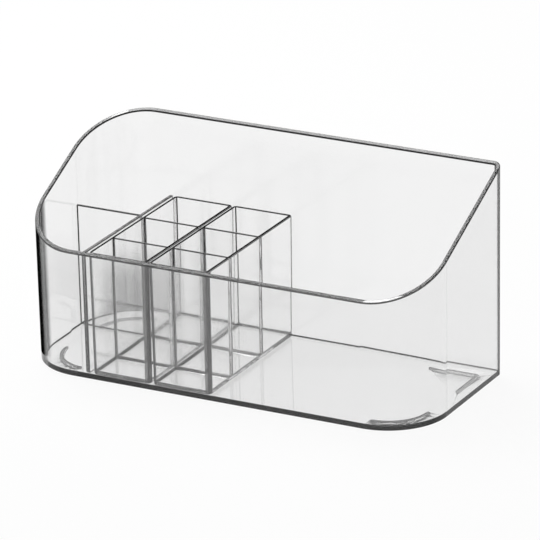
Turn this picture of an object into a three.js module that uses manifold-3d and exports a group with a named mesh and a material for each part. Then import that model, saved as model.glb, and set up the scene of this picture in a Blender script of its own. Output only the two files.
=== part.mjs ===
// A clear plastic makeup organizer: a tray with a high back and a low front, two bins of three
// pockets each, and a T-shaped divider. The bins and the divider stand in the tray and lift out.
//
// Lengths are in millimetres. X runs to the right as seen from the front, Y to the back, Z up.
// The origin is on the table, under the middle of the tray.

import * as THREE from 'three';
import { mergeVertices } from 'three/addons/utils/BufferGeometryUtils.js';
import Module from 'manifold-3d';

// Tray: width and depth are outside sizes at the top of the back wall, heights start at the underside
const trayWidth = 300;
const trayDepth = 126.5;
const trayBackHeight = 148.5;
const trayFrontHeight = 87.9;
const trayWall = 3;
const trayFloor = 2.5;
const trayLargeCorner = 42.5;
const traySmallCorner = 6;
const trayRimRound = 0.8;
const trayBaseRound = 0.8;
const trayFloorRound = 0.8;

// Foot ribs under the tray, one along each corner. The inset runs from the underside's edge to the
// middle of a rib, and the rib in the nearly square corner is an L with two arms.
const footHeight = 1.5;
const footWidth = 2.4;
const footInset = 13.5;
const footArm = 32;
const footElbowRound = 3;
const footEdgeRound = 0.4;

// Bins: the width is the outside size at the top, pocket depths are clear sizes at the top
const binWidth = 44.7;
const binWall = 1.6;
const binFloor = 1.6;
const binCorner = 3.5;
const binBaseRound = 1.2;
const binFrontPocket = 29;
const binMiddlePocket = 40.6;
const binPartition = 1.6;
const pocketCorner = 1.2;
const pocketFloorRound = 2;

// T-shaped divider: a long plate from front to back, and a short one from it to the left wall
const longPlate = 3;
const shortPlate = 2;
const sidePocketWidth = 47.7;
const sidePocketFrontDepth = 75.3;
const plateFootRound = 2;
const plateTopRound = 0.8;

// Shared by what stands in the tray
const insertHeight = 86.1;
const plateGap = 1.5;
const binGap = 0.5;
const endClearance = 0.3;
const seatClearance = 0.3;

// Draft that lets every moulding leave its mould, in degrees
const draftAngle = 0.4;

// Fineness of the curves, and lengths that only help the cutting
const largeCornerSteps = 16;
const smallCornerSteps = 4;
const roundSteps = 3;
const footCurveSteps = 8;
const leastRound = 0.3;
const overrun = 1;

// A drafted wall leans out by this much for each millimetre of height
const lean = Math.tan(THREE.MathUtils.degToRad(draftAngle));

// Levels above the table
const undersideZ = footHeight;
const floorZ = undersideZ + trayFloor;
const rimBackZ = undersideZ + trayBackHeight;
const rimFrontZ = undersideZ + trayFrontHeight;
const seatZ = floorZ + seatClearance;

const wasm = await Module();
wasm.setup();

// Turns a closed mesh into a solid that can be joined and cut.
function toSolid(geometry) {
  const bare = geometry.clone();
  bare.deleteAttribute('normal');
  bare.deleteAttribute('uv');
  const merged = mergeVertices(bare);
  return new wasm.Manifold(new wasm.Mesh({
    numProp: 3,
    vertProperties: new Float32Array(merged.attributes.position.array),
    triVerts: new Uint32Array(merged.index.array),
  }));
}

// Turns a solid back into a mesh geometry.
function toGeometry(solid) {
  const { vertProperties, triVerts } = solid.getMesh();
  const geometry = new THREE.BufferGeometry();
  geometry.setAttribute('position', new THREE.BufferAttribute(vertProperties, 3));
  geometry.setIndex(new THREE.BufferAttribute(triVerts, 1));
  geometry.computeVertexNormals();
  return geometry;
}

// Outline of a rectangle with rounded corners, anticlockwise from the front left corner.
// A positive inset draws the whole outline in, and the corners' radii with it.
function roundedOutline(width, depth, corners, inset) {
  const points = [];
  corners.forEach(({ radius, steps }, index) => {
    const sideX = index === 1 || index === 2 ? 1 : -1;
    const sideY = index > 1 ? 1 : -1;
    const round = Math.max(radius - inset, leastRound);
    const centreX = sideX * (width / 2 - inset - round);
    const centreY = sideY * (depth / 2 - inset - round);
    for (let step = 0; step <= steps; step += 1) {
      const turn = Math.PI * (1 + (index + step / steps) / 2);
      points.push(new THREE.Vector2(
        centreX + round * Math.cos(turn),
        centreY + round * Math.sin(turn),
      ));
    }
  });
  return points;
}

// Steps through a quarter of a circle of radius one: how far it has left its start line, and how
// far it has run along it.
function quarterRound() {
  return Array.from({ length: roundSteps + 1 }, (_, step) => {
    const turn = (Math.PI / 2) * (step / roundSteps);
    return { away: 1 - Math.cos(turn), along: Math.sin(turn) };
  });
}

// Puts an outline at one height.
function ringAt(outline, z) {
  return outline.map(({ x, y }) => new THREE.Vector3(x, y, z));
}

// A closed skin over rings of equally many points. The first ring is capped facing down, the last
// facing up, and the rings between may climb, turn over a rim and come down again.
function skin(rings) {
  const count = rings[0].length;
  const positions = rings.flat().flatMap(({ x, y, z }) => [x, y, z]);
  const faces = [];
  for (let ring = 0; ring + 1 < rings.length; ring += 1) {
    for (let point = 0; point < count; point += 1) {
      const next = (point + 1) % count;
      const [low, lowNext] = [ring * count + point, ring * count + next];
      const [high, highNext] = [low + count, lowNext + count];
      faces.push(low, lowNext, highNext, low, highNext, high);
    }
  }
  const last = (rings.length - 1) * count;
  for (const [a, b, c] of THREE.ShapeUtils.triangulateShape(rings[0], [])) {
    faces.push(a, c, b);
  }
  for (const [a, b, c] of THREE.ShapeUtils.triangulateShape(rings.at(-1), [])) {
    faces.push(last + a, last + b, last + c);
  }
  const geometry = new THREE.BufferGeometry();
  geometry.setAttribute('position', new THREE.Float32BufferAttribute(positions, 3));
  geometry.setIndex(faces);
  return geometry;
}

// How far the tray's outer face lies inside its widest outline, at a height.
function trayLean(z) {
  return (rimBackZ - z) * lean;
}

// Distance from the middle of the tray to the inner face of its front or back wall, at a height.
function trayInnerHalfDepth(z) {
  return trayDepth / 2 - trayLean(z) - trayWall;
}

// Place of the inner face of the tray's left wall, at a height.
function trayInnerLeft(z) {
  return trayLean(z) + trayWall - trayWidth / 2;
}

// Three corners of the tray are wide curves, and the back right one is nearly square.
const trayCorners = [
  { radius: trayLargeCorner, steps: largeCornerSteps },
  { radius: trayLargeCorner, steps: largeCornerSteps },
  { radius: traySmallCorner, steps: smallCornerSteps },
  { radius: trayLargeCorner, steps: largeCornerSteps },
];

function trayOutline(inset) {
  return roundedOutline(trayWidth, trayDepth, trayCorners, inset);
}

// The whole rim lies on one plane that falls from the back wall to the front wall, so that each
// corner's rim is a long smooth curve.
const rimFrontY = trayLean(rimFrontZ) - trayDepth / 2;
const rimSlope = (rimBackZ - rimFrontZ) / (trayDepth / 2 - rimFrontY);

function rimHeight(y) {
  return rimFrontZ + (y - rimFrontY) * rimSlope;
}

// A ring round the tray's wall at one height, measured in from the outer face.
function trayLevelRing(inset, z) {
  return ringAt(trayOutline(inset + trayLean(z)), z);
}

// A ring that follows the rim at an even drop below its plane.
function trayRimRing(inset, drop) {
  return trayOutline(inset).map((point, index) => {
    const wallInset = inset + trayLean(rimHeight(point.y) - drop);
    const { x, y } = trayOutline(wallInset)[index];
    return new THREE.Vector3(x, y, rimHeight(y) - drop);
  });
}

// The tray's shell, as one skin: out from the underside, up the outer faces, over the rounded rim,
// down the inner faces and in to the floor.
function trayShell() {
  const quarter = quarterRound();
  const base = quarter.map(({ away, along }) => trayLevelRing(
    trayBaseRound * (1 - along),
    undersideZ + trayBaseRound * away,
  ));
  const outerRim = quarter.map(({ away, along }) => trayRimRing(
    trayRimRound * away,
    trayRimRound * (1 - along),
  ));
  const innerRim = quarter.map(({ away, along }) => trayRimRing(
    trayWall - trayRimRound * (1 - along),
    trayRimRound * away,
  ));
  const floor = quarter.map(({ away, along }) => trayLevelRing(
    trayWall + trayFloorRound * away,
    floorZ + trayFloorRound * (1 - along),
  ));
  return skin([...base, ...outerRim, ...innerRim, ...floor]);
}

// Raises a foot rib from its outline: its lower edge is rounded and its top is sunk in the floor.
function footRib(outline) {
  const height = footHeight + trayFloor / 2;
  const geometry = new THREE.ExtrudeGeometry(outline, {
    depth: height - 2 * footEdgeRound,
    curveSegments: footCurveSteps,
    bevelThickness: footEdgeRound,
    bevelSize: footEdgeRound,
    bevelOffset: -footEdgeRound,
    bevelSegments: roundSteps,
  });
  geometry.translate(0, 0, footEdgeRound);
  return geometry;
}

// Outline of a rib that follows a wide corner, with round ends.
function arcFootOutline(centreX, centreY, start) {
  const end = start + Math.PI / 2;
  const middle = trayLargeCorner - trayLean(undersideZ) - footInset;
  const half = footWidth / 2;
  const outline = new THREE.Shape();
  outline.absarc(centreX, centreY, middle + half, start, end, false);
  outline.absarc(
    centreX + middle * Math.cos(end),
    centreY + middle * Math.sin(end),
    half,
    end,
    end + Math.PI,
    false,
  );
  outline.absarc(centreX, centreY, middle - half, end, start, true);
  outline.absarc(
    centreX + middle * Math.cos(start),
    centreY + middle * Math.sin(start),
    half,
    start + Math.PI,
    start,
    false,
  );
  return outline;
}

// Outline of the rib in the nearly square corner: an L with round ends and a rounded elbow.
function elbowFootOutline() {
  const half = footWidth / 2;
  const x = trayWidth / 2 - trayLean(undersideZ) - footInset;
  const y = trayDepth / 2 - trayLean(undersideZ) - footInset;
  const outline = new THREE.Shape();
  outline.moveTo(x - footArm, y - half);
  outline.lineTo(x - half, y - half);
  outline.lineTo(x - half, y - footArm);
  outline.absarc(x, y - footArm, half, -Math.PI, 0, false);
  outline.absarc(
    x + half - footElbowRound,
    y + half - footElbowRound,
    footElbowRound,
    0,
    Math.PI / 2,
    false,
  );
  outline.absarc(x - footArm, y, half, Math.PI / 2, Math.PI * 1.5, false);
  return outline;
}

function tray() {
  const cornerX = trayWidth / 2 - trayLargeCorner;
  const cornerY = trayDepth / 2 - trayLargeCorner;
  const outlines = [
    arcFootOutline(-cornerX, -cornerY, -Math.PI),
    arcFootOutline(cornerX, -cornerY, -Math.PI / 2),
    arcFootOutline(-cornerX, cornerY, Math.PI / 2),
    elbowFootOutline(),
  ];
  let solid = toSolid(trayShell());
  for (const outline of outlines) {
    solid = solid.add(toSolid(footRib(outline)));
  }
  return toGeometry(solid);
}

// Bins reach from the front wall to the back wall, less a clearance at each end. They carry the
// tray's draft, so they are smaller at the base than at the top.
const binBaseDepth = 2 * (trayInnerHalfDepth(seatZ) - endClearance);
const binDepth = binBaseDepth + 2 * insertHeight * lean;

function evenCorners(radius) {
  return Array.from({ length: 4 }, () => ({ radius, steps: smallCornerSteps }));
}

// The bin before its pockets are sunk, standing on its base at height zero.
function binBlock() {
  const corners = evenCorners(binCorner);
  const ring = (inset, z) => ringAt(
    roundedOutline(binWidth, binDepth, corners, inset + (insertHeight - z) * lean),
    z,
  );
  const base = quarterRound().map(({ away, along }) => ring(
    binBaseRound * (1 - along),
    binBaseRound * away,
  ));
  return skin([...base, ring(0, insertHeight)]);
}

// The space of one pocket: it narrows with the draft and its floor is rounded all the way round.
function binPocket(depth, centreY) {
  const corners = evenCorners(pocketCorner);
  const width = binWidth - 2 * binWall;
  const ring = (inset, z) => ringAt(
    roundedOutline(width, depth, corners, inset + (insertHeight - z) * lean),
    z,
  );
  const floor = quarterRound().map(({ away, along }) => ring(
    pocketFloorRound * (1 - along),
    binFloor + pocketFloorRound * away,
  ));
  const geometry = skin([...floor, ring(0, insertHeight + overrun)]);
  geometry.translate(0, centreY, 0);
  return geometry;
}

function bin() {
  const clearDepth = binDepth - 2 * (binWall + binPartition);
  const depths = [binFrontPocket, binMiddlePocket, clearDepth - binFrontPocket - binMiddlePocket];
  let solid = toSolid(binBlock());
  let front = binWall - binDepth / 2;
  for (const depth of depths) {
    solid = solid.subtract(toSolid(binPocket(depth, front + depth / 2)));
    front += depth + binPartition;
  }
  return toGeometry(solid);
}

// A flat plate from its side view. A free end leans out with the draft and has rounded corners,
// and an end that runs into another plate is square. The view's first axis becomes the length.
function plateOutline(start, end, endIsFree) {
  const startTop = start - insertHeight * lean;
  const outline = new THREE.Shape();
  outline.moveTo(start + plateFootRound, 0);
  if (endIsFree) {
    const endTop = end + insertHeight * lean;
    outline.lineTo(end - plateFootRound, 0);
    outline.quadraticCurveTo(end, 0, end + plateFootRound * lean, plateFootRound);
    outline.lineTo(endTop - plateTopRound * lean, insertHeight - plateTopRound);
    outline.quadraticCurveTo(endTop, insertHeight, endTop - plateTopRound, insertHeight);
  } else {
    outline.lineTo(end, 0);
    outline.lineTo(end, insertHeight);
  }
  outline.lineTo(startTop + plateTopRound, insertHeight);
  outline.quadraticCurveTo(
    startTop,
    insertHeight,
    startTop + plateTopRound * lean,
    insertHeight - plateTopRound,
  );
  outline.lineTo(start - plateFootRound * lean, plateFootRound);
  outline.quadraticCurveTo(start, 0, start + plateFootRound, 0);
  return outline;
}

function plate(outline, thickness) {
  return new THREE.ExtrudeGeometry(outline, {
    depth: thickness,
    curveSegments: smallCornerSteps,
    bevelEnabled: false,
  });
}

// Both plates are moulded in one. The long plate stands from front to back, and the short one
// joins it to the left wall. The piece's own origin is at the long plate's left face.
function divider() {
  const halfLength = trayInnerHalfDepth(seatZ) - endClearance;
  const long = plate(plateOutline(-halfLength, halfLength, true), longPlate);
  long.applyMatrix4(new THREE.Matrix4().makeBasis(
    new THREE.Vector3(0, 1, 0),
    new THREE.Vector3(0, 0, 1),
    new THREE.Vector3(1, 0, 0),
  ));
  const shortFront = sidePocketFrontDepth - trayInnerHalfDepth(seatZ);
  const shortStart = endClearance - sidePocketWidth;
  const short = plate(plateOutline(shortStart, longPlate / 2, false), shortPlate);
  short.rotateX(Math.PI / 2);
  short.translate(0, shortFront + shortPlate, 0);
  return toGeometry(toSolid(long).add(toSolid(short)));
}

// Clear plastic with a faint cool grey.
function clearPlastic() {
  return new THREE.MeshStandardMaterial({
    color: 0xe9ebec,
    roughness: 0.04,
    metalness: 0,
    transparent: true,
    opacity: 0.35,
  });
}

function piece(name, geometry, x, z) {
  const mesh = new THREE.Mesh(geometry, clearPlastic());
  mesh.name = name;
  mesh.position.set(x, 0, z);
  return mesh;
}

// From the left: the side pockets, the divider's long plate, then the two bins.
const dividerX = trayInnerLeft(seatZ) + sidePocketWidth;
const leftBinX = dividerX + longPlate + plateGap + binWidth / 2;
const rightBinX = leftBinX + binWidth + binGap;

const organizer = new THREE.Group();
organizer.add(piece('tray', tray(), 0, 0));
organizer.add(piece('side_divider', divider(), dividerX, seatZ));
organizer.add(piece('left_bin', bin(), leftBinX, seatZ));
organizer.add(piece('right_bin', bin(), rightBinX, seatZ));

export default organizer;
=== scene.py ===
# %% [markdown]
# # A clear plastic makeup organizer
# The real organizer is made of four mouldings: a tray with a high back and a low front, two bins of
# three pockets each, and a T-shaped divider. The bins and the divider stand loose in the tray.
#
# The measured model is loaded first and never changed. It has the right sizes, but its curves are
# facets, and facets show badly through clear plastic. So every moulding is modelled again here with
# smooth curves and rounded edges, in the same place and at the same size.

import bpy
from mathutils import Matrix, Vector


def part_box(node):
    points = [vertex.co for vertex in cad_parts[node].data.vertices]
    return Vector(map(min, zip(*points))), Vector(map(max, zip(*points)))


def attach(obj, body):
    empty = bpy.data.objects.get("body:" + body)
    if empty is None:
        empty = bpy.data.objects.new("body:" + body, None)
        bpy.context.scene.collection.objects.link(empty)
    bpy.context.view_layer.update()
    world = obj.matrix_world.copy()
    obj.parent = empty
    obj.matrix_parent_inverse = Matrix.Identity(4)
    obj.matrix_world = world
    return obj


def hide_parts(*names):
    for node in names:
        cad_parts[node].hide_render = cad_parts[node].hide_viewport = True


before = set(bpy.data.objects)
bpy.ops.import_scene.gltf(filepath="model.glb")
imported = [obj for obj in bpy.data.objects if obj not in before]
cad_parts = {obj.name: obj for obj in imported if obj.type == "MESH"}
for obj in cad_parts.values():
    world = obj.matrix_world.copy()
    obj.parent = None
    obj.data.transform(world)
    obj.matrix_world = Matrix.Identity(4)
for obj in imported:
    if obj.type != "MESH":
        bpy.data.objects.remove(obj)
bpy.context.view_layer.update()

# %% [markdown]
# ## Tools and units
# Blender works in metres. Mouldings are drawn in millimetres, so sizes are written as a number
# times MM. The mould is cut with a slight slope on every upright wall, called draft, so that the
# piece slips out. With draft a wall leans out by a fixed share of its height.

# %% Units and draft
import math

import bmesh
import bpy
from mathutils import Matrix, Vector

MM = 0.001
draft_angle = math.radians(0.4)
lean_share = math.tan(draft_angle)
weld_distance = 0.001 * MM
print(f"a wall leans out by {lean_share * 100:.2f} mm over 100 mm of height")

# %% [markdown]
# ## The camera comes first
# The picture was taken from far away with a long lens, so lines that are parallel on the object
# stay almost parallel in the picture. A camera could be placed by eye, but a box with many
# straight edges shows every error. Here the direction, the tilt and the lens were worked out from
# the box's own corners: the camera stands on a line through the table's middle, and the picture's
# middle lies a little above the table.

# %% Camera
view_azimuth = math.radians(28.38)
view_elevation = math.radians(21.0)
view_roll = math.radians(-1.30)
view_distance = 3488 * MM
picture_middle_right = 6.95 * MM
picture_middle_up = 67.51 * MM
lens_length = 350


def view_axes(azimuth, elevation, roll):
    """Right, up and back of a camera that looks at the object, as unit vectors."""
    back = Vector((
        math.sin(azimuth) * math.cos(elevation),
        -math.cos(azimuth) * math.cos(elevation),
        math.sin(elevation),
    ))
    level = Vector((math.cos(azimuth), math.sin(azimuth), 0))
    upright = back.cross(level)
    right = math.cos(roll) * level + math.sin(roll) * upright
    up = math.cos(roll) * upright - math.sin(roll) * level
    return right, up, back


right, up, back = view_axes(view_azimuth, view_elevation, view_roll)
camera_data = bpy.data.cameras.new("camera")
camera_data.lens = lens_length
camera = bpy.data.objects.new("camera", camera_data)
turned = Matrix((right, up, back)).transposed().to_4x4()
place = right * picture_middle_right + up * picture_middle_up + back * view_distance
camera.matrix_world = Matrix.Translation(place) @ turned
bpy.context.scene.collection.objects.link(camera)
bpy.context.scene.camera = camera
print("the camera stands at", tuple(round(x, 3) for x in place))

# %% [markdown]
# ## Clear plastic
# The mouldings are polished clear plastic with a faint grey. Light bends as it enters, by the
# plastic's refractive index, and some is lost on its way through. A plain glass shader bends light
# but loses none, so a volume absorption is added. One wall of the tray takes a few parts in a
# hundred, and a path along the whole depth of the tray takes nearly all, which is why rims and
# edges look dark. The thin bins and the divider are clearer.

# %% What the plastic does to light
plastic_index = 1.5
plastic_tint = (0.99, 0.99, 0.99, 1)
absorbed_colour = (0.5, 0.5, 0.5, 1)
tray_absorption = 50
insert_absorption = 8
tray_wall = 3 * MM
tray_depth = 126.5 * MM


def share_passed(absorption, path):
    """The share of light that is left after a path through plastic."""
    return math.exp(-(1 - absorbed_colour[1]) * absorption * path)


print(f"a wall of the tray passes {share_passed(tray_absorption, tray_wall):.0%} of the light")
print(f"a path along the tray's depth passes {share_passed(tray_absorption, tray_depth):.0%}")

# %% [markdown]
# No moulding is perfect. Its surface swells very slightly from place to place, and handling leaves
# it a little less glossy in patches. A painted texture could hold both, but noise on Object
# coordinates needs no picture and stays put on the piece. Faces that are marked as matte, by a
# number that they carry, scatter light a little more.

# %% Surface of the plastic
swell_width = 30 * MM
swell_height = 0.004 * MM
swell_detail = 1.0
patch_width = 10 * MM
patch_detail = 4.0
patch_noise_low = 0.35
patch_noise_high = 0.75
least_roughness = 0.0
most_roughness = 0.03
matte_roughness = 0.45
matte_layer = "matte_finish"


def add_node(tree, kind, **values):
    """A new node, with its settings and its unlinked inputs given by name."""
    node = tree.nodes.new(kind)
    for key, value in values.items():
        if key in node.inputs:
            node.inputs[key].default_value = value
        else:
            setattr(node, key, value)
    return node


def smooth_surface(tree, place, surface):
    """Gives a shader its swells, its patches of lower gloss and its matte faces."""
    swells = add_node(tree, "ShaderNodeTexNoise", Scale=1 / swell_width, Detail=swell_detail)
    bump = add_node(tree, "ShaderNodeBump", Strength=1.0, Distance=swell_height)
    patches = add_node(tree, "ShaderNodeTexNoise", Scale=1 / patch_width, Detail=patch_detail)
    gloss = add_node(tree, "ShaderNodeMapRange")
    gloss.inputs["From Min"].default_value = patch_noise_low
    gloss.inputs["From Max"].default_value = patch_noise_high
    gloss.inputs["To Min"].default_value = least_roughness
    gloss.inputs["To Max"].default_value = most_roughness
    matte = add_node(tree, "ShaderNodeAttribute", attribute_name=matte_layer)
    finish = add_node(tree, "ShaderNodeMix", data_type="FLOAT", B=matte_roughness)
    link = tree.links.new
    link(place.outputs["Object"], swells.inputs["Vector"])
    link(swells.outputs["Fac"], bump.inputs["Height"])
    link(bump.outputs["Normal"], surface.inputs["Normal"])
    link(place.outputs["Object"], patches.inputs["Vector"])
    link(patches.outputs["Fac"], gloss.inputs["Value"])
    link(gloss.outputs["Result"], finish.inputs["A"])
    link(matte.outputs["Fac"], finish.inputs["Factor"])
    link(finish.outputs["Result"], surface.inputs["Roughness"])


print("swells are", swell_height / MM, "mm high and about", swell_width / MM, "mm wide")

# %% [markdown]
# ## Dark lines in clear plastic
# Rims and corners of a real moulding draw dark lines, because their small uneven rounds mirror and
# bend dark parts of the room to the eye. Even rounds on a model do so less. Uneven rounds could be
# modelled, but they need a very fine mesh. Here the darkness is painted instead, by numbers that each
# face carries: how dark an edge it is, how much painted shade the wall has there, and whether it
# belongs to a wide bend.
#
# The painted shade is a soft grey low in the left back corner. A number for each face would end in a
# hard line, so it also fades with the place along all three axes.

# %% Painted shade in the left back corner
painted_shade_layer = "painted_shade"
painted_shade_from = (-86 * MM, 32 * MM, 54 * MM)
painted_shade_to = (-108 * MM, 56 * MM, 16 * MM)


def painted_shade_mask(tree, place):
    """How much painted shade a point carries: its face's number, times a fade along each axis."""
    parts = add_node(tree, "ShaderNodeSeparateXYZ")
    painted_shade = add_node(tree, "ShaderNodeAttribute", attribute_name=painted_shade_layer)
    link = tree.links.new
    link(place.outputs["Object"], parts.inputs[0])
    mask = painted_shade.outputs["Fac"]
    for axis, start, end in zip("XYZ", painted_shade_from, painted_shade_to):
        fade = add_node(tree, "ShaderNodeMapRange", interpolation_type="SMOOTHSTEP")
        fade.inputs["From Min"].default_value = start
        fade.inputs["From Max"].default_value = end
        faded = add_node(tree, "ShaderNodeMath", operation="MULTIPLY")
        link(parts.outputs[axis], fade.inputs["Value"])
        link(fade.outputs["Result"], faded.inputs[0])
        link(mask, faded.inputs[1])
        mask = faded.outputs[0]
    return mask


print("the smoke is gone", painted_shade_from[2] / MM, "mm above the table")

# %% [markdown]
# A wide corner turns away from the eye at its outline, and there light runs a long way inside the
# bend, so clear plastic looks dark. Layer Weight measures how far glass is turned from the eye, but
# a look from above counts as a turn too. So it is asked twice, for the surface's own direction and
# for the level direction along the wall. What one is of the other gives the turn on the level.

# %% Dark outlines of the wide corners
bend_layer = "wide_bend"
bend_starts = math.radians(62.4)
bend_full = math.radians(73.3)
straight_up = (0, 0, 1)


def part_of_sight(tree, direction=None):
    """How much of the line of sight runs along a direction, or along the surface's own."""
    turned_away = add_node(tree, "ShaderNodeLayerWeight", Blend=0.5)
    if direction:
        tree.links.new(direction, turned_away.inputs["Normal"])
    part = add_node(tree, "ShaderNodeMath", operation="SUBTRACT")
    part.inputs[0].default_value = 1
    tree.links.new(turned_away.outputs["Facing"], part.inputs[1])
    return part.outputs[0]


def bend_mask(tree):
    """How dark a wide bend is, by how far it is turned from the eye on the level."""
    surface_place = add_node(tree, "ShaderNodeNewGeometry")
    along_wall = add_node(tree, "ShaderNodeVectorMath", operation="CROSS_PRODUCT")
    along_wall.inputs[1].default_value = straight_up
    turn = add_node(tree, "ShaderNodeMath", operation="DIVIDE")
    outline = add_node(tree, "ShaderNodeMapRange")
    outline.inputs["From Min"].default_value = 1 / math.tan(bend_starts)
    outline.inputs["From Max"].default_value = 1 / math.tan(bend_full)
    bend = add_node(tree, "ShaderNodeAttribute", attribute_name=bend_layer)
    mask = add_node(tree, "ShaderNodeMath", operation="MULTIPLY")
    link = tree.links.new
    link(surface_place.outputs["Normal"], along_wall.inputs[0])
    link(part_of_sight(tree), turn.inputs[0])
    link(part_of_sight(tree, along_wall.outputs[0]), turn.inputs[1])
    link(turn.outputs[0], outline.inputs["Value"])
    link(outline.outputs["Result"], mask.inputs[0])
    link(bend.outputs["Fac"], mask.inputs[1])
    return mask.outputs[0]


print(f"bends are fully dark past a turn of {math.degrees(bend_full):.0f} degrees")

# %% [markdown]
# The strongest of the three marks wins. A marked place lets less light through, and what it keeps is
# painted nearly black. A dark base colour alone would not do, because it leaves what the surface
# mirrors as bright as before. The colour falls faster than the clearness, by its square, or half
# dark edges would come out pale grey.

# %% Clear plastic material
edge_layer = "edge_shade"
# nearly black: the painted colour of dark edges, bends and painted shade
painted_dark_colour = (0.006, 0.006, 0.006, 1)


def darken(tree, mask, surface):
    """Takes light from a clear surface by a mask that runs from 0, clear, to 1, dark."""
    clear = add_node(tree, "ShaderNodeMath", operation="SUBTRACT")
    clear.inputs[0].default_value = 1
    squared = add_node(tree, "ShaderNodeMath", operation="MULTIPLY")
    shaded_colour = add_node(tree, "ShaderNodeMixRGB", Color1=painted_dark_colour, Color2=plastic_tint)
    link = tree.links.new
    link(mask, clear.inputs[1])
    link(clear.outputs[0], squared.inputs[0])
    link(clear.outputs[0], squared.inputs[1])
    link(squared.outputs[0], shaded_colour.inputs["Fac"])
    link(clear.outputs[0], surface.inputs["Transmission Weight"])
    link(shaded_colour.outputs["Color"], surface.inputs["Base Color"])


def clear_plastic(name, absorption):
    """Polished clear plastic that bends, mirrors and slowly swallows light."""
    material = bpy.data.materials.new(name)
    material.use_nodes = True
    tree = material.node_tree
    tree.nodes.clear()
    output = add_node(tree, "ShaderNodeOutputMaterial")
    surface = add_node(tree, "ShaderNodeBsdfPrincipled", IOR=plastic_index)
    surface.inputs["Base Color"].default_value = plastic_tint
    surface.inputs["Transmission Weight"].default_value = 1
    body = add_node(tree, "ShaderNodeVolumeAbsorption", Color=absorbed_colour, Density=absorption)
    place = add_node(tree, "ShaderNodeTexCoord")
    smooth_surface(tree, place, surface)
    edge = add_node(tree, "ShaderNodeAttribute", attribute_name=edge_layer)
    link = tree.links.new
    mask = edge.outputs["Fac"]
    for other in (painted_shade_mask(tree, place), bend_mask(tree)):
        stronger = add_node(tree, "ShaderNodeMath", operation="MAXIMUM")
        link(mask, stronger.inputs[0])
        link(other, stronger.inputs[1])
        mask = stronger.outputs[0]
    darken(tree, mask, surface)
    link(surface.outputs["BSDF"], output.inputs["Surface"])
    link(body.outputs["Volume"], output.inputs["Volume"])
    print(f"{name} has {len(tree.nodes)} nodes")
    return material


tray_plastic = clear_plastic("tray_plastic", tray_absorption)
insert_plastic = clear_plastic("insert_plastic", insert_absorption)

# %% [markdown]
# ## Helpers for mouldings
# Every moulding is a closed skin made by a few bmesh operators. A level ring is a rectangle whose
# corner points are bevelled into arcs. Two rings joined by a bridge make a drafted wall. A ring
# filled with a face makes a floor. Bevels then round the edges, as they are rounded in a mould.
#
# A step often needs all edges or corner points of some faces, each of them once. A Python set holds
# each once, but in an order that changes from run to run, and some operators then give another
# mesh. A dictionary's keys keep their order, so they do the sorting out.

# %% Rings and fills
def each_once(items):
    """The items without repeats, in the order in which they came."""
    return list(dict.fromkeys(items))


def rounded_ring(bm, width, depth, height, corners):
    """Edges of a level rectangle with rounded corners, as (radius, steps) from the front left."""
    before = set(bm.edges)
    stretch = Matrix.Diagonal((width, depth, 1, 1))
    at_height = Matrix.Translation((0, 0, height))
    made = bmesh.ops.create_grid(
        bm, x_segments=1, y_segments=1, size=0.5, matrix=at_height @ stretch
    )
    signs = ((-1, -1), (1, -1), (1, 1), (-1, 1))
    tips = [Vector((x * width / 2, y * depth / 2, height)) for x, y in signs]
    points = [min(made["verts"], key=lambda v: (v.co - tip).length) for tip in tips]
    for point, (radius, steps) in zip(points, corners):
        bmesh.ops.bevel(
            bm, geom=[point], offset=radius, offset_type="OFFSET",
            segments=steps, profile=0.5, affect="VERTICES", material=-1,
        )
    edges = [edge for edge in bm.edges if edge not in before]
    faces = each_once(face for edge in edges for face in edge.link_faces)
    bmesh.ops.delete(bm, geom=faces, context="FACES_ONLY")
    return edges


def fill(bm, edges):
    """One flat face inside a closed run of edges."""
    return bmesh.ops.contextual_create(bm, geom=edges)["faces"][0]


# %% [markdown]
# Rounded edges get their darkness as they are made. A bevel returns its new faces, and a number is
# written on them for the material to read. Some edges are dark all over. On others only a stripe
# along the middle is dark, with sides that fade.

# %% Rounding and shading edges
whole_shade = 1
core_share = 0.8


def mark(bm, faces, layer_name, value):
    """Writes a number on faces, for the material to read."""
    layers = bm.faces.layers.float
    layer = layers.get(layer_name) or layers.new(layer_name)
    for face in faces:
        face[layer] = value


def mark_middles(bm, faces, radius, width, shade):
    """Shades a stripe along the middle of a rounded edge, where it faces between two sides."""
    reach = width / 2 / radius
    for face in faces:
        face.normal_update()
        straightest = min(1, max(abs(x) for x in face.normal))
        off_middle = math.pi / 4 - math.acos(straightest)
        fade = (reach - off_middle) / (reach * (1 - core_share))
        mark(bm, [face], edge_layer, shade * min(1, max(0, fade)))


def round_edges(bm, edges, radius, steps, shade=whole_shade, width=None):
    """Rounds edges with a circular profile, and shades them whole or along a stripe of a width.
    First all faces must agree on which side is out."""
    mark(bm, [], edge_layer, 0)
    bmesh.ops.recalc_face_normals(bm, faces=bm.faces)
    edges = [edge for edge in edges if edge.is_valid]
    made = bmesh.ops.bevel(
        bm, geom=edges, offset=radius, offset_type="OFFSET", segments=steps,
        profile=0.5, affect="EDGES", clamp_overlap=False, material=-1,
    )
    if width:
        mark_middles(bm, made["faces"], radius, width, shade)
    else:
        mark(bm, made["faces"], edge_layer, shade)
    return made["faces"]


# %% [markdown]
# Before each finished mesh becomes an object, its open edges are counted and its volume is printed:
# every edge should join exactly two faces, and the volume should be positive, or light would pass
# through the wall the wrong way.
# Weighted normals keep the flat walls optically flat beside their rounded edges.

# %% Finishing a moulding
flat_wall_weight = 100


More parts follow.
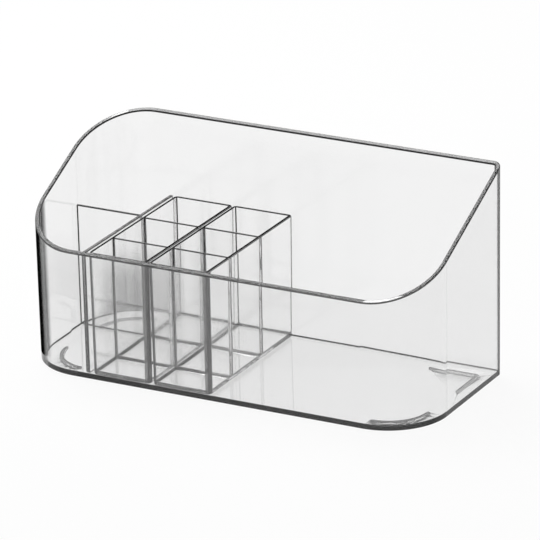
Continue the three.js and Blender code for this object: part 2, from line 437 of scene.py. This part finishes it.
def finish_moulding(bm, name, plastic):
    """Turns a closed mesh into a shaded object that rides on, and stands for, its CAD node."""
    bmesh.ops.remove_doubles(bm, verts=bm.verts, dist=weld_distance)
    bmesh.ops.recalc_face_normals(bm, faces=bm.faces)
    open_edges = sum(not edge.is_manifold for edge in bm.edges)
    volume = bm.calc_volume(signed=True) / (10 * MM) ** 3
    mesh = bpy.data.meshes.new(name)
    bm.to_mesh(mesh)
    bm.free()
    mesh.shade_smooth()
    mesh.materials.append(plastic)
    piece = bpy.data.objects.new(name, mesh)
    bpy.context.scene.collection.objects.link(piece)
    weighted = piece.modifiers.new("weighted normals", "WEIGHTED_NORMAL")
    weighted.weight = flat_wall_weight
    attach(piece, name)
    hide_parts(name)
    low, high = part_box(name)
    size = [round(x / MM, 2) for x in high - low]
    print(f"{name}: {len(mesh.polygons)} faces, {open_edges} open edges, {volume:.1f} cm3")
    print(f"  its place in the measured model is {size} mm")
    return piece


# %% [markdown]
# ## The tray
# The tray is one moulding. Its outline is a long rectangle with three wide corners and one nearly
# square corner, and its rim lies on a single plane that falls from the high back to the low front.
# It could be cut from a block with booleans, but their meshes are untidy, and clear plastic shows
# that. Here the outer and inner walls are bridged between level rings, and one slanting cut through
# both makes the rim exactly flat.

# %% Tray sizes
tray_width = 300 * MM
tray_back_height = 148.5 * MM
tray_front_height = 87.9 * MM
tray_floor = 2.5 * MM
wide_corner = 42.5 * MM
narrow_corner = 6 * MM
foot_height = 1.5 * MM

underside = foot_height
floor_level = underside + tray_floor
rim_back = underside + tray_back_height
rim_front = underside + tray_front_height
rim_front_y = lean_share * (rim_back - rim_front) - tray_depth / 2
rim_slope = (rim_back - rim_front) / (tray_depth / 2 - rim_front_y)
rim_point = Vector((0, rim_front_y, rim_front))
rim_normal = Vector((0, -rim_slope, 1)).normalized()
print(f"the rim falls by {math.degrees(math.atan(rim_slope)):.1f} degrees")

# %% Tray walls
wide_steps = 32
narrow_steps = 10
cut_margin = 5 * MM


def tray_ring(bm, height, inset):
    """A ring round the tray at a height, set in from its outer face."""
    inset = inset + lean_share * (rim_back - height)
    wide = (wide_corner - inset, wide_steps)
    narrow = (narrow_corner - inset, narrow_steps)
    corners = (wide, wide, narrow, wide)
    return rounded_ring(bm, tray_width - 2 * inset, tray_depth - 2 * inset, height, corners)


def cut_wall(bm, inset, low_ring):
    """A wall from a ring up to the rim's plane. Returns the edges that the plane has cut."""
    top_ring = tray_ring(bm, rim_back + cut_margin, inset)
    made = bmesh.ops.bridge_loops(bm, edges=low_ring + top_ring)
    faces = made["faces"]
    edges = each_once(edge for face in faces for edge in face.edges)
    verts = each_once(v for face in faces for v in face.verts)
    cut = bmesh.ops.bisect_plane(
        bm, geom=faces + edges + verts, dist=weld_distance, plane_co=rim_point,
        plane_no=rim_normal, clear_outer=True,
    )["geom_cut"]
    return [item for item in cut if isinstance(item, bmesh.types.BMEdge)]


def bridge_rim(bm, outer, inner):
    """Joins two loops that lie in the rim's plane. One is lowered for a moment, because a bridge
    between loops in one plane may twist."""
    verts = each_once(v for edge in inner for v in edge.verts)
    bmesh.ops.translate(bm, verts=verts, vec=-cut_margin * rim_normal)
    faces = bmesh.ops.bridge_loops(bm, edges=outer + inner)["faces"]
    bmesh.ops.translate(bm, verts=verts, vec=cut_margin * rim_normal)
    return faces


# %% [markdown]
# The two walls are joined over the rim, and the floor and the underside are filled. Then every edge
# is rounded, as a mould leaves it. The rim's outer round catches more light than its inner one, so it
# is shaded less.

# %% Tray rim and floor
rim_round = 0.8 * MM
base_round = 0.8 * MM
floor_round = 0.8 * MM
edge_steps = 4
outer_rim_shade = 0.72


def tray_walls(bm):
    """Outer and inner walls, cut by the rim's plane and joined over it."""
    base = tray_ring(bm, underside, 0)
    outer = cut_wall(bm, 0, base)
    floor = tray_ring(bm, floor_level, tray_wall)
    inner = cut_wall(bm, tray_wall, floor)
    bridge_rim(bm, outer, inner)
    fill(bm, floor)
    fill(bm, base)
    for face in round_edges(bm, outer + inner, rim_round, edge_steps):
        middle = face.calc_center_median()
        looks_out = face.normal.x * middle.x > 0 or face.normal.y * middle.y > 0
        if looks_out:
            mark(bm, [face], edge_layer, outer_rim_shade)


def level_face(bm, height):
    """The largest face that lies level at a height."""
    level = [
        face for face in bm.faces
        if all(abs(v.co.z - height) < weld_distance for v in face.verts)
    ]
    return max(level, key=lambda face: face.calc_area())


def round_tray_floor(bm):
    """Rounds the edges where the walls meet the underside and the floor."""
    round_edges(bm, level_face(bm, underside).edges, base_round, edge_steps)
    round_edges(bm, level_face(bm, floor_level).edges, floor_round, edge_steps)


# %% [markdown]
# The tray stands on four narrow ribs under its corners, which show through the floor. Each rib is
# drawn by sweeping a short line: turned about the corner's centre for a curved rib, or run, turned
# and run again for the rib in the nearly square corner. The ribs' outlines become holes in the
# underside, and their sides are drawn down from those holes, so tray and ribs are one solid.

# %% Foot ribs
foot_width = 2.4 * MM
foot_inset = 13.5 * MM
foot_arm = 32 * MM
elbow_round = 3 * MM
foot_round = 0.4 * MM
rib_shade = 0.6
foot_steps = 32
elbow_steps = 10
end_steps = 8


def cross_line(bm, middle, outward):
    """A line across a rib: its two ends lie either side of the rib's middle."""
    half = Vector(outward) * foot_width / 2
    ends = [bm.verts.new(middle - half), bm.verts.new(middle + half)]
    return bmesh.ops.contextual_create(bm, geom=ends)["edges"][0]


def turn_line(bm, line, centre, angle, steps):
    """Sweeps a line about an upright axis and returns where it ends."""
    swept = bmesh.ops.spin(
        bm, geom=[line], cent=centre, axis=(0, 0, 1), angle=angle, steps=steps
    )
    return next(item for item in swept["geom_last"] if isinstance(item, bmesh.types.BMEdge))


def run_line(bm, line, way):
    """Sweeps a line straight along a way and returns where it ends."""
    swept = bmesh.ops.extrude_edge_only(bm, edges=[line])["geom"]
    verts = [item for item in swept if isinstance(item, bmesh.types.BMVert)]
    bmesh.ops.translate(bm, verts=verts, vec=way)
    return next(
        item for item in swept
        if isinstance(item, bmesh.types.BMEdge) and set(item.verts) == set(verts)
    )


def outline_of(bm, before):
    """Rounds a swept strip's ends and returns its outline as edges without faces."""
    strip = [face for face in bm.faces if face not in before]
    tips = each_once(v for face in strip for v in face.verts if len(v.link_faces) == 1)
    bmesh.ops.bevel(
        bm, geom=tips, offset=foot_width / 2, offset_type="OFFSET",
        segments=end_steps, profile=0.5, affect="VERTICES", clamp_overlap=False, material=-1,
    )
    strip = [face for face in bm.faces if face not in before]
    verts = each_once(v for face in strip for v in face.verts)
    bmesh.ops.remove_doubles(bm, verts=verts, dist=weld_distance)
    strip = [face for face in bm.faces if face not in before]
    rim = [edge for face in strip for edge in face.edges if edge.is_boundary]
    inner = each_once(edge for face in strip for edge in face.edges if not edge.is_boundary)
    bmesh.ops.delete(bm, geom=strip, context="FACES_ONLY")
    bmesh.ops.delete(bm, geom=inner, context="EDGES")
    return rim


def curved_rib(bm, side_x, side_y):
    """Outline of the rib that follows a wide corner, from one wall round to the other."""
    before = set(bm.faces)
    reach = wide_corner - lean_share * (rim_back - underside) - foot_inset
    centre = Vector((
        side_x * (tray_width / 2 - wide_corner),
        side_y * (tray_depth / 2 - wide_corner),
        underside,
    ))
    outward = Vector((side_x, 0, 0))
    line = cross_line(bm, centre + outward * reach, outward)
    turn_line(bm, line, centre, side_x * side_y * math.pi / 2, foot_steps)
    return outline_of(bm, before)


def elbow_rib(bm):
    """Outline of the rib in the nearly square corner: an arm along each wall."""
    before = set(bm.faces)
    inset = lean_share * (rim_back - underside) + foot_inset
    elbow = Vector((tray_width / 2 - inset, tray_depth / 2 - inset, underside))
    bend = elbow_round - foot_width / 2
    line = cross_line(bm, elbow - Vector((foot_arm, 0, 0)), (0, 1, 0))
    line = run_line(bm, line, (foot_arm - bend, 0, 0))
    line = turn_line(bm, line, elbow - Vector((bend, bend, 0)), -math.pi / 2, elbow_steps)
    run_line(bm, line, (0, bend - foot_arm, 0))
    return outline_of(bm, before)


def add_feet(bm):
    """Draws the four ribs down from the underside."""
    base = level_face(bm, underside)
    edges = list(base.edges)
    bmesh.ops.delete(bm, geom=[base], context="FACES_ONLY")
    ribs = [curved_rib(bm, -1, -1), curved_rib(bm, 1, -1), curved_rib(bm, -1, 1), elbow_rib(bm)]
    outlines = [edge for rib in ribs for edge in rib]
    bmesh.ops.triangle_fill(bm, use_beauty=True, use_dissolve=False, edges=edges + outlines)
    for rib in ribs:
        swept = bmesh.ops.extrude_edge_only(bm, edges=rib)["geom"]
        sides = [f for f in swept if isinstance(f, bmesh.types.BMFace)]
        mark(bm, sides, edge_layer, rib_shade)
        verts = [item for item in swept if isinstance(item, bmesh.types.BMVert)]
        bmesh.ops.translate(bm, verts=verts, vec=(0, 0, -foot_height))
        low = [
            item for item in swept
            if isinstance(item, bmesh.types.BMEdge) and all(v in verts for v in item.verts)
        ]
        sole = fill(bm, low)
        round_edges(bm, sole.edges, foot_round, edge_steps)


# %% [markdown]
# Some places on the tray differ from the rest. The flat top of the back rim is painted as a soft grey
# line. The back half is slightly matte. The nearly square corner is painted dark on its outside,
# where the wall bends tightly, and the three wide corners are marked as bends. The back wall's
# outside is marked for painted shade, and the material keeps it to the low left end. Separate
# materials could do all this, but the tray is one closed mesh. Light that enters it through one
# material has to leave through the same one, or its path through the plastic isn't measured.

# %% Marks on the tray
back_rim_shade = 0.55
back_half_matte = 0.25
narrow_corner_shade = 1
narrow_corner_from = math.radians(2)
narrow_corner_to = math.radians(81)
# the darkest painted shade, on the back wall's outside
most_painted_shade = 0.65
nearly_aligned = 0.9999
nearly_level = 0.01
large_area = wide_corner ** 2 / 20


def mark_back_rim(bm):
    """Shades the flat top of the rim along the back wall."""
    behind = tray_depth / 2 - 2 * tray_wall
    for face in bm.faces:
        if face.normal.dot(rim_normal) > nearly_aligned and face.calc_center_median().y > behind:
            mark(bm, [face], edge_layer, back_rim_shade)


def mark_wall(bm, face):
    """Writes on a large face what its place and direction call for."""
    middle = face.calc_center_median()
    turn = math.atan2(face.normal.y, face.normal.x)
    in_narrow_corner = middle.x > 0 and middle.y > 0
    slanted = min(abs(face.normal.x), abs(face.normal.y)) > nearly_level
    left_of_narrow_corner = middle.x < tray_width / 2 - 2 * narrow_corner
    if middle.y > narrow_corner and left_of_narrow_corner:
        mark(bm, [face], matte_layer, back_half_matte)
    # the nearly square corner's outside is painted dark
    if in_narrow_corner and narrow_corner_from < turn < narrow_corner_to:
        mark(bm, [face], edge_layer, narrow_corner_shade)
    if slanted and not in_narrow_corner:
        mark(bm, [face], bend_layer, 1)
    # painted shade on the back wall's outside, which the material keeps low at the left end
    if middle.y > 0 and face.normal.y > nearly_level:
        mark(bm, [face], painted_shade_layer, most_painted_shade)


def mark_tray(bm):
    """Marks the back rim and every large face of the tray."""
    for layer in (matte_layer, painted_shade_layer, bend_layer):
        mark(bm, [], layer, 0)
    bm.normal_update()
    mark_back_rim(bm)
    large = [face for face in bm.faces if face.calc_area() > large_area]
    for face in large:
        mark_wall(bm, face)
    print(len(large), "large faces of the tray carry marks")


# %% [markdown]
# The tray is now made in order: walls and rim, rounded floor, foot ribs, and the marks last, when
# all faces are in place.

# %% Make the tray
tray_bm = bmesh.new()
tray_walls(tray_bm)
round_tray_floor(tray_bm)
add_feet(tray_bm)
mark_tray(tray_bm)
tray = finish_moulding(tray_bm, "tray", tray_plastic)

# %% [markdown]
# ## The bins
# A bin is a block with three pockets sunk in it. The front pocket is the shortest and the back one
# the longest. The block and each pocket start as a box without a lid, tapered by the draft and with
# rounded edges. The top is then closed by two faces, left and right, that meet on the partitions,
# because a single face can't have holes in it.

# %% Bin sizes
bin_width = 44.7 * MM
bin_wall = 1.6 * MM
bin_floor = 1.6 * MM
bin_corner = 3.5 * MM
bin_base_round = 1.2 * MM
front_pocket = 29 * MM
middle_pocket = 40.6 * MM
bin_partition = 1.6 * MM
pocket_corner = 1.2 * MM
pocket_round = 2 * MM
insert_height = 86.1 * MM
plate_gap = 1.5 * MM
bin_gap = 0.5 * MM
end_clearance = 0.3 * MM
seat_clearance = 0.3 * MM

seat = floor_level + seat_clearance
insert_top = seat + insert_height


def inner_half_depth(height):
    """Distance from the tray's middle to the inner face of its front or back wall."""
    return tray_depth / 2 - lean_share * (rim_back - height) - tray_wall


bin_depth = 2 * (inner_half_depth(seat) - end_clearance + lean_share * insert_height)
back_pocket = bin_depth - 2 * (bin_wall + bin_partition) - front_pocket - middle_pocket
print(f"the bins are {bin_depth / MM:.1f} mm deep, and the back pocket {back_pocket / MM:.1f} mm")

# %% [markdown]
# A box is rounded in two steps, its floor and its upright corners, and each step must find the
# edges to round. They are picked by what they are, not by number, because a bevel renumbers them:
# a floor edge lies at the bottom and is sharp, and an upright edge climbs and is turned.

# %% Finding a box's edges
sharp_turn = 1.0
slight_turn = 0.1


def new_edges(bm, before):
    """Edges that have come since some corner points were listed."""
    return each_once(edge for v in bm.verts if v not in before for edge in v.link_edges)


def bottoms_of(bm, before, low):
    """The sharp edges round a box's floor."""
    return [
        e for e in new_edges(bm, before)
        if all(v.co.z < low + weld_distance for v in e.verts) and e.calc_face_angle(0) > sharp_turn
    ]


def uprights_of(bm, before):
    """The edges that climb a box's corners, with the mitres where they cross a rounded floor."""
    return [
        e for e in new_edges(bm, before)
        if abs(e.verts[0].co.z - e.verts[1].co.z) > weld_distance
        and e.calc_face_angle(0) > slight_turn
    ]


# %% [markdown]
# The block's corners are rounder than its base, so they are rounded first, and a pocket's base is
# rounder than its corners, so there the base comes first. In the other order the larger round would
# run past the smaller one. The block's two front corners show as grey bands, so they are shaded all
# over, and the other corners carry a thin dark line.

# %% Boxes without a lid
corner_steps = 12
upright_line = 1.1 * MM
block_line = 1.0 * MM
front_corner_shade = 0.55


def open_box(bm, middle, size, low, corner, base):
    """A drafted box without a lid. The size is taken at the top, and corner and base are radii."""
    before = set(bm.verts)
    height = insert_top - low
    at = Matrix.Translation((middle[0], middle[1], low + height / 2))
    made = bmesh.ops.create_cube(
        bm, size=1, matrix=at @ Matrix.Diagonal((size[0], size[1], height, 1))
    )
    verts = made["verts"]
    lower = [v for v in verts if v.co.z < low + height / 2]
    shares = [1 - 2 * lean_share * height / length for length in size]
    bmesh.ops.scale(
        bm, vec=(shares[0], shares[1], 1), verts=lower,
        space=Matrix.Translation((-middle[0], -middle[1], 0)),
    )
    faces = each_once(face for v in verts for face in v.link_faces)
    lid = max(faces, key=lambda face: face.calc_center_median().z)
    faces.remove(lid)
    bmesh.ops.delete(bm, geom=[lid], context="FACES_ONLY")
    edges = each_once(edge for v in verts for edge in v.link_edges)
    bmesh.ops.bisect_plane(
        bm, geom=verts + edges + faces, dist=weld_distance,
        plane_co=(middle[0], 0, 0), plane_no=(1, 0, 0),
    )
    if corner > base:
        uprights = uprights_of(bm, before)
        corners = round_edges(bm, uprights, corner, corner_steps, width=block_line)
        front = [f for f in corners if f.calc_center_median().y < middle[1]]
        mark(bm, front, edge_layer, front_corner_shade)
        round_edges(bm, bottoms_of(bm, before, low), base, corner_steps, shade=0)
    else:
        round_edges(bm, bottoms_of(bm, before, low), base, corner_steps, width=upright_line)
        round_edges(bm, uprights_of(bm, before), corner, corner_steps, width=upright_line)
    return [edge for edge in new_edges(bm, before) if edge.is_boundary]


# %% [markdown]
# Last come the top and its lips. Lips that run across the bin look darkest. Those that run from
# front to back show a thin grey line.

# %% Closing the top
lip_round = 0.7 * MM
across_shade = 1
along_shade = 0.45
along_line = 0.6 * MM


def mark_lips(bm, faces, radius):
    """Shades lips that run across whole, and lips that run from front to back along a stripe."""
    for face in faces:
        face.normal_update()
        if abs(face.normal.x) > abs(face.normal.y):
            mark_middles(bm, [face], radius, along_line, along_shade)
        else:
            mark(bm, [face], edge_layer, across_shade)


def close_top(bm, mouths, middle):
    """Closes the top between the block and its pockets, and rounds every lip."""
    corners = each_once(v for edge in mouths for v in edge.verts)
    on_line = [v for v in corners if abs(v.co.x - middle) < weld_distance]
    on_line.sort(key=lambda v: v.co.y)
    ties = []
    for near, far in zip(on_line[::2], on_line[1::2]):
        ties += bmesh.ops.contextual_create(bm, geom=[near, far])["edges"]
    for side in (-1, 1):
        half = [e for e in mouths if side * (sum(v.co.x for v in e.verts) / 2 - middle) > 0]
        fill(bm, half + ties)
    mark_lips(bm, round_edges(bm, mouths, lip_round, edge_steps), lip_round)


def make_bin(name, middle_x):
    """A bin of three pockets, standing with its middle at a place across the tray."""
    bm = bmesh.new()
    mouths = open_box(bm, (middle_x, 0), (bin_width, bin_depth), seat, bin_corner, bin_base_round)
    front = bin_wall - bin_depth / 2
    for depth in (front_pocket, middle_pocket, back_pocket):
        middle = (middle_x, front + depth / 2)
        size = (bin_width - 2 * bin_wall, depth)
        mouths += open_box(bm, middle, size, seat + bin_floor, pocket_corner, pocket_round)
        front += depth + bin_partition
    close_top(bm, mouths, middle_x)
    return finish_moulding(bm, name, insert_plastic)


# %% [markdown]
# ## The divider
# The T-shaped divider is two thin plates moulded in one. The long plate starts as a box. Two cuts
# mark where the short plate grows from its left side, and the face between them is drawn out to
# the tray's left wall. Its free ends lean with the tray's walls and have rounded corners.

# %% Divider
long_plate = 3 * MM
short_plate = 2 * MM
side_pocket_width = 47.7 * MM
side_pocket_front = 75.3 * MM
plate_foot_round = 2 * MM
plate_lip_round = 0.8 * MM
plate_top_round = 0.8 * MM
mostly = 0.5
end_length_share = 1.01

inner_left = lean_share * (rim_back - seat) + tray_wall - tray_width / 2
divider_left = inner_left + side_pocket_width
short_front = side_pocket_front - inner_half_depth(seat)


def left_faces(bm):
    """The faces that look to the left."""
    return [face for face in bm.faces if face.normal.x < -mostly]


def make_divider():
    """The T-shaped divider, from one box and one drawn-out face."""
    bm = bmesh.new()
    length = 2 * (inner_half_depth(seat) - end_clearance)
    at = Matrix.Translation((divider_left + long_plate / 2, 0, seat + insert_height / 2))
    bmesh.ops.create_cube(
        bm, size=1, matrix=at @ Matrix.Diagonal((long_plate, length, insert_height, 1))
    )
    for cut in (short_front, short_front + short_plate):
        left = left_faces(bm)
        edges = each_once(e for f in left for e in f.edges)
        verts = each_once(v for f in left for v in f.verts)
        bmesh.ops.bisect_plane(
            bm, geom=left + edges + verts, dist=weld_distance,
            plane_co=(0, cut, 0), plane_no=(0, 1, 0),
        )
    middle_y = short_front + short_plate / 2
    stem = min(left_faces(bm), key=lambda f: abs(f.calc_center_median().y - middle_y))
    drawn = bmesh.ops.extrude_discrete_faces(bm, faces=[stem])["faces"][0]
    reach = side_pocket_width - end_clearance
    bmesh.ops.translate(bm, verts=list(drawn.verts), vec=(-reach, 0, 0))
    high = insert_top - weld_distance
    rise = lean_share * insert_height
    left_tip = [v for v in drawn.verts if v.co.z > high]
    bmesh.ops.translate(bm, verts=left_tip, vec=(-rise, 0, 0))
    for side in (-1, 1):
        tip = [v for v in bm.verts if v.co.z > high and side * v.co.y > length / 2 - weld_distance]
        bmesh.ops.translate(bm, verts=tip, vec=(0, side * rise, 0))
    end_edges = [
        e for e in bm.edges
        if abs(e.verts[0].co.z - e.verts[1].co.z) < weld_distance
        and e.calc_length() < end_length_share * long_plate
        and e.calc_face_angle(0) > sharp_turn
    ]
    feet = [e for e in end_edges if e.verts[0].co.z < seat + weld_distance]
    tops = [e for e in end_edges if e.verts[0].co.z > high]
    round_edges(bm, feet, plate_foot_round, corner_steps, width=upright_line)
    round_edges(bm, tops, plate_top_round, edge_steps)
    bm.normal_update()
    sharp = [e for e in bm.edges if e.calc_face_angle(0) > sharp_turn]
    mark_lips(bm, round_edges(bm, sharp, plate_lip_round, edge_steps), plate_lip_round)
    return finish_moulding(bm, "side_divider", insert_plastic)


# %% [markdown]
# From left to right stand the divider, the left bin and the right bin, each placed from its
# neighbour with a small gap, because they are loose. The two bins are the same moulding.

# %% Make the pieces that stand in the tray
left_bin_x = divider_left + long_plate + plate_gap + bin_width / 2
right_bin_x = left_bin_x + bin_width + bin_gap
left_bin = make_bin("left_bin", left_bin_x)
right_bin = make_bin("right_bin", right_bin_x)
side_divider = make_divider()

# %% [markdown]
# ## Table and light
# The organizer stands on a pale table in front of nothing but light. Clear plastic has hardly any
# colour of its own: it is drawn by what it mirrors and bends. A room that is white all round would
# make it vanish. So the table and the horizon are white, and the light falls off towards the
# ceiling, where one wide soft lamp hangs. Then flat walls look white and edges turn dark.
#
# The table glows for the camera, and for what is mirrored in plastic or seen through it, so that it
# is as white as the background. A small share of it stays plain paint, and that share keeps the
# organizer's shadow. It lies a hair below the feet: two faces in one place would leave it to chance
# which of them light meets first.

# %% Table
table_size = 6000 * MM
table_drop = 0.05 * MM
table_white = 0.9
table_glow = 0.93


def stage_sheet(name, width, depth, place):
    """A flat level sheet that isn't part of the organizer."""
    bm = bmesh.new()
    size = Matrix.Diagonal((width, depth, 1, 1))
    bmesh.ops.create_grid(
        bm, x_segments=1, y_segments=1, size=0.5, matrix=Matrix.Translation(place) @ size
    )
    mesh = bpy.data.meshes.new(name)
    bm.to_mesh(mesh)
    bm.free()
    sheet = bpy.data.objects.new(name, mesh)
    bpy.context.scene.collection.objects.link(sheet)
    material = bpy.data.materials.new(name)
    material.use_nodes = True
    mesh.materials.append(material)
    return sheet, material.node_tree


def glow_for_sight(tree):
    """Pale paint that sight, mirror images and looks through plastic find nearly white."""
    tree.nodes.clear()
    output = add_node(tree, "ShaderNodeOutputMaterial")
    paint = add_node(tree, "ShaderNodeBsdfDiffuse", Color=(table_white,) * 3 + (1,))
    glow = add_node(tree, "ShaderNodeEmission", Color=(1, 1, 1, 1), Strength=1.0)
    mix = add_node(tree, "ShaderNodeMixShader")
    rays = add_node(tree, "ShaderNodeLightPath")
    share = add_node(tree, "ShaderNodeMath", operation="MULTIPLY")
    share.inputs[1].default_value = table_glow
    link = tree.links.new
    seen = rays.outputs["Is Camera Ray"]
    for kind in ("Is Glossy Ray", "Is Transmission Ray"):
        either = add_node(tree, "ShaderNodeMath", operation="MAXIMUM")
        link(seen, either.inputs[0])
        link(rays.outputs[kind], either.inputs[1])
        seen = either.outputs[0]
    link(seen, share.inputs[0])
    link(share.outputs[0], mix.inputs["Fac"])
    link(paint.outputs[0], mix.inputs[1])
    link(glow.outputs[0], mix.inputs[2])
    link(mix.outputs[0], output.inputs["Surface"])


table, table_nodes = stage_sheet("table", table_size, table_size, (0, 0, -table_drop))
glow_for_sight(table_nodes)
print("the table is", table_size, "m wide")

# %% [markdown]
# A dark card lies beside the organizer. Only mirror images see it, so it draws the rounded left
# side as a dark line, as a black card does in a studio.

# %% Dark card
card_gap = 152 * MM
card_front = -60 * MM
card_width = 500 * MM
card_depth = 700 * MM
card_height = 0.5 * MM
black = (0, 0, 0, 1)

card_place = (-card_gap - card_width / 2, card_front + card_depth / 2, card_height)
card, card_nodes = stage_sheet("dark_card", card_width, card_depth, card_place)
paint = card_nodes.nodes["Principled BSDF"]
paint.inputs["Base Color"].default_value = black
paint.inputs["Specular IOR Level"].default_value = 0
card.visible_camera = False
card.visible_transmission = False
card.visible_diffuse = False
card.visible_shadow = False
print("the card begins", round((card_gap - tray_width / 2) / MM, 1), "mm to the left of the tray")

# %% [markdown]
# The world is one ramp on the direction's upward part: white from below up to a quarter of the way
# overhead, then quickly dark. It gives the same light from every side. A photographed studio could
# surround the object instead, but it would need a picture file.

# %% World
horizon_white = (1, 1, 1, 1)
upper_grey = (0.05, 0.05, 0.05, 1)
fall_starts = 0.42
fall_ends = 0.55


def studio_world():
    """White at the horizon and dark overhead."""
    world = bpy.data.worlds.new("studio")
    world.use_nodes = True
    tree = world.node_tree
    tree.nodes.clear()
    output = add_node(tree, "ShaderNodeOutputWorld")
    sky = add_node(tree, "ShaderNodeBackground", Strength=1.0)
    place = add_node(tree, "ShaderNodeTexCoord")
    parts = add_node(tree, "ShaderNodeSeparateXYZ")
    ramp = add_node(tree, "ShaderNodeValToRGB")
    ramp.color_ramp.elements[0].position = fall_starts
    ramp.color_ramp.elements[0].color = horizon_white
    ramp.color_ramp.elements[1].position = fall_ends
    ramp.color_ramp.elements[1].color = upper_grey
    link = tree.links.new
    link(place.outputs["Generated"], parts.inputs[0])
    link(parts.outputs["Z"], ramp.inputs["Fac"])
    link(ramp.outputs["Color"], sky.inputs["Color"])
    link(sky.outputs[0], output.inputs["Surface"])
    bpy.context.scene.world = world


studio_world()
fall_angles = [round(math.degrees(math.asin(x))) for x in (fall_starts, fall_ends)]
print("the sky turns dark between", fall_angles, "degrees above the horizon")

# %% [markdown]
# One wide lamp hangs high at the left, behind the organizer. It gives soft light on top of the
# rims and a faint shadow on the table.

# %% Lamp
lamp_azimuth = math.radians(153)
lamp_elevation = math.radians(61)
lamp_distance = 1500 * MM
lamp_size = 1200 * MM
lamp_power = 21


def soft_lamp(name, azimuth, elevation, distance, size, power):
    """A wide square lamp that faces the organizer. Azimuth counts from the right, towards the
    back."""
    data = bpy.data.lights.new(name, "AREA")
    data.shape = "SQUARE"
    data.size = size
    data.energy = power
    lamp = bpy.data.objects.new(name, data)
    way = Vector((
        math.cos(azimuth) * math.cos(elevation),
        math.sin(azimuth) * math.cos(elevation),
        math.sin(elevation),
    ))
    lamp.location = way * distance
    lamp.rotation_euler = way.to_track_quat("Z", "Y").to_euler()
    bpy.context.scene.collection.objects.link(lamp)
    brightness = power / (math.pi * size ** 2)
    print(f"{name} is {brightness:.1f} times as bright as white")


soft_lamp("upper_lamp", lamp_azimuth, lamp_elevation, lamp_distance, lamp_size, lamp_power)

# %% [markdown]
# ## Picture settings
# Colours go to the picture as they are. Light crosses up to a dozen walls on its way through the
# bins, with two surfaces each, so it is followed for more turns than usual.

# %% Picture settings
light_turns = 32
scene = bpy.context.scene
scene.view_settings.view_transform = "Standard"
scene.cycles.max_bounces = light_turns
scene.cycles.transmission_bounces = light_turns
scene.cycles.glossy_bounces = light_turns
scene.cycles.transparent_max_bounces = light_turns
print("light is followed for", light_turns, "turns")
